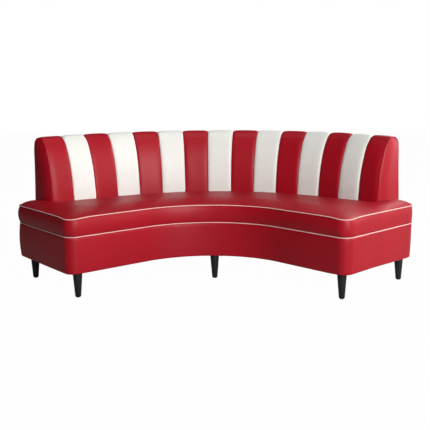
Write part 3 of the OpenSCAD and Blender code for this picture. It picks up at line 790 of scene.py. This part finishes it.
# Legs
# Six turned and tapered beech legs with black lacquer, each on a nylon glide and screwed
# up into a block by its bolt.
lacquer, tree, shader = new_material("black_lacquer")
fibre = add_node(tree, "ShaderNodeTexNoise", Scale=40.0, Detail=5.0, Roughness=0.6)
tree.links.new(object_point(tree, (6, 6, 1)), fibre.inputs["Vector"])
stain(tree, shader, fibre.outputs["Fac"], [(0.3, (0.006, 0.006, 0.006)), (0.7, (0.014, 0.013, 0.012))])
emboss(tree, shader, fibre.outputs["Fac"], 0.15, 0.0002)
shader.inputs["Roughness"].default_value = 0.40
shader.inputs["Specular IOR Level"].default_value = 0.3
leg_top_r, leg_foot_r, bore_r, bore_deep = 0.026, 0.0153, 0.0045, 0.045
leg_ease = 0.0016
leg_nodes = [f"leg_{row}_{place}" for row in ("front", "rear") for place in ("left", "middle", "right")]
low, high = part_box("leg_front_left")


def pick_end(piece, side):
    """Enters edit mode with the flat face at the top (1) or foot (-1) selected."""
    bpy.ops.object.mode_set(mode="EDIT")
    bpy.ops.mesh.select_mode(type="FACE")
    bpy.ops.mesh.select_all(action="DESELECT")
    bpy.ops.object.mode_set(mode="OBJECT")
    for face in piece.data.polygons:
        face.select = face.normal.z * side > 0.99
    bpy.ops.object.mode_set(mode="EDIT")


bpy.ops.object.select_all(action="DESELECT")
leg_high = high[2] - low[2]
bpy.ops.mesh.primitive_cylinder_add(vertices=48, radius=leg_top_r, depth=leg_high, location=(0, 0, 0))
pattern = bpy.context.active_object
pick_end(pattern, -1)
narrow = leg_foot_r / leg_top_r
bpy.ops.transform.resize(value=(narrow, narrow, 1), center_override=(0, 0, 0))
bpy.ops.object.mode_set(mode="OBJECT")
eased = pattern.modifiers.new("eased", "BEVEL")
eased.limit_method = "ANGLE"
eased.width = leg_ease
eased.segments = 3
bpy.ops.object.modifier_apply(modifier=eased.name)
pick_end(pattern, 1)
bpy.ops.mesh.inset(thickness=leg_top_r - leg_ease - bore_r)
bpy.ops.mesh.extrude_region_move(TRANSFORM_OT_translate={"value": (0, 0, -bore_deep)})
bpy.ops.object.mode_set(mode="OBJECT")
bpy.ops.object.shade_smooth_by_angle(angle=math.radians(40))
for name in leg_nodes:
    low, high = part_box(name)
    leg = bpy.data.objects.new("turned_" + name, pattern.data.copy())
    scene.collection.objects.link(leg)
    set_points(leg, get_points(leg) + (np.array(low) + np.array(high)) / 2)
    dress(leg, lacquer)
    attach(leg, "root")
    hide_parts(name)
bpy.data.objects.remove(pattern)

steel, tree, shader = new_material("zinc_steel")
clouds = add_node(tree, "ShaderNodeTexNoise", Scale=160.0, Detail=3.0)
tree.links.new(object_point(tree), clouds.inputs["Vector"])
stain(tree, shader, clouds.outputs["Fac"], [(0.3, (0.45, 0.46, 0.47)), (0.7, (0.6, 0.61, 0.62))])
shader.inputs["Metallic"].default_value = 1.0
shader.inputs["Roughness"].default_value = 0.35
for name in ("back_bolts", "back_nuts", "hanger_bolts", "tee_nuts"):
    dress(nodes[name], steel)

nylon, tree, shader = new_material("nylon")
speckle = add_node(tree, "ShaderNodeTexNoise", Scale=300.0, Detail=2.0)
tree.links.new(object_point(tree), speckle.inputs["Vector"])
stain(tree, shader, speckle.outputs["Fac"], [(0.3, (0.02, 0.02, 0.02)), (0.7, (0.035, 0.035, 0.035))])
shader.inputs["Roughness"].default_value = 0.55
dress(nodes["glides"], nylon)

# Studio
# A white floor under a large soft lamp at the front right. Weaker lamps stand low in front,
# at the left, above, at the right and behind the right end, as in a catalogue studio.
bpy.ops.object.select_all(action="DESELECT")
bpy.ops.mesh.primitive_plane_add(size=40, location=(0, 0, 0))
floor = bpy.context.active_object
floor.name = "studio_floor"
paper, tree, shader = new_material("studio_paper")
shader.inputs["Base Color"].default_value = (0.45, 0.45, 0.45, 1)
shader.inputs["Roughness"].default_value = 0.9
shader.inputs["Specular IOR Level"].default_value = 0.1
white = add_node(tree, "ShaderNodeEmission")
white.inputs["Color"].default_value = (1, 1, 1, 1)
glossy_share = 0.06
white_share = 0.985


def sees_backdrop(tree):
    """One for camera and transmitted rays, and a share for glossy ones."""
    seen = add_node(tree, "ShaderNodeLightPath")
    either = add_node(tree, "ShaderNodeMath", operation="ADD")
    total = add_node(tree, "ShaderNodeMath", operation="MULTIPLY_ADD", use_clamp=True)
    total.inputs[1].default_value = glossy_share
    tree.links.new(seen.outputs["Is Camera Ray"], either.inputs[0])
    tree.links.new(seen.outputs["Is Transmission Ray"], either.inputs[1])
    tree.links.new(seen.outputs["Is Glossy Ray"], total.inputs[0])
    tree.links.new(either.outputs[0], total.inputs[2])
    return total.outputs[0]


share = add_node(tree, "ShaderNodeMath", operation="MULTIPLY")
share.inputs[1].default_value = white_share
blend = add_node(tree, "ShaderNodeMixShader")
tree.links.new(sees_backdrop(tree), share.inputs[0])
tree.links.new(share.outputs[0], blend.inputs["Fac"])
tree.links.new(shader.outputs["BSDF"], blend.inputs[1])
tree.links.new(white.outputs["Emission"], blend.inputs[2])
tree.links.new(blend.outputs["Shader"], tree.nodes["Material Output"].inputs["Surface"])
dress(floor, paper)
floor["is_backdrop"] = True

world = bpy.data.worlds.new("studio")
scene.world = world
world.use_nodes = True
tree = world.node_tree
tree.nodes.clear()
output = tree.nodes.new("ShaderNodeOutputWorld")
place = tree.nodes.new("ShaderNodeTexCoord")
toward = add_node(tree, "ShaderNodeVectorMath", operation="DOT_PRODUCT")
toward.inputs[1].default_value = (0.62, -0.42, 0.66)
tree.links.new(place.outputs["Generated"], toward.inputs[0])
level = add_node(tree, "ShaderNodeMapRange")
level.inputs["From Min"].default_value = -0.7
level.inputs["From Max"].default_value = 1.0
level.inputs["To Min"].default_value = 0.01
level.inputs["To Max"].default_value = 0.07
tree.links.new(toward.outputs["Value"], level.inputs["Value"])
room = add_node(tree, "ShaderNodeBackground")
tree.links.new(level.outputs["Result"], room.inputs["Strength"])
backdrop = add_node(tree, "ShaderNodeBackground")
backdrop.inputs["Color"].default_value = (1, 1, 1, 1)
backdrop.inputs["Strength"].default_value = 1.0
blend = tree.nodes.new("ShaderNodeMixShader")
tree.links.new(sees_backdrop(tree), blend.inputs["Fac"])
tree.links.new(room.outputs["Background"], blend.inputs[1])
tree.links.new(backdrop.outputs["Background"], blend.inputs[2])
tree.links.new(blend.outputs["Shader"], output.inputs["Surface"])


def soft_lamp(name, place, aim, width, height, power):
    data = bpy.data.lights.new(name, "AREA")
    data.shape = "RECTANGLE"
    data.size, data.size_y = width, height
    data.energy = power
    lamp = bpy.data.objects.new(name, data)
    scene.collection.objects.link(lamp)
    lamp.location = place
    lamp.rotation_euler = (Vector(aim) - Vector(place)).to_track_quat("-Z", "Y").to_euler()


soft_lamp("key_lamp", (2.7, -4.5, 3.2), (0, 0, 0.4), 2.6, 2.6, 254)
soft_lamp("low_lamp", (3.0, -5.1, 1.4), (0, 0, 0.4), 2.2, 1.4, 96)
soft_lamp("left_lamp", (-1.8, -4.9, 3.4), (0, 0, 0.4), 2.6, 2.6, 12)
soft_lamp("top_lamp", (0, 0, 6), (0, 0, 0.4), 2.6, 2.6, 50)
soft_lamp("right_lamp", (5.5, 0.2, 2.8), (0, 0, 0.4), 2.6, 2.6, 88)
soft_lamp("near_lamp", (3.0, 0.3, 1.15), (1.0, -0.1, 0.5), 1.0, 1.2, 23)
soft_lamp("rear_lamp", (1.6, 1.4, 2.0), (0.95, -0.1, 0.5), 0.8, 0.8, 18)

scene.view_settings.view_transform = "Standard"
low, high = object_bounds()
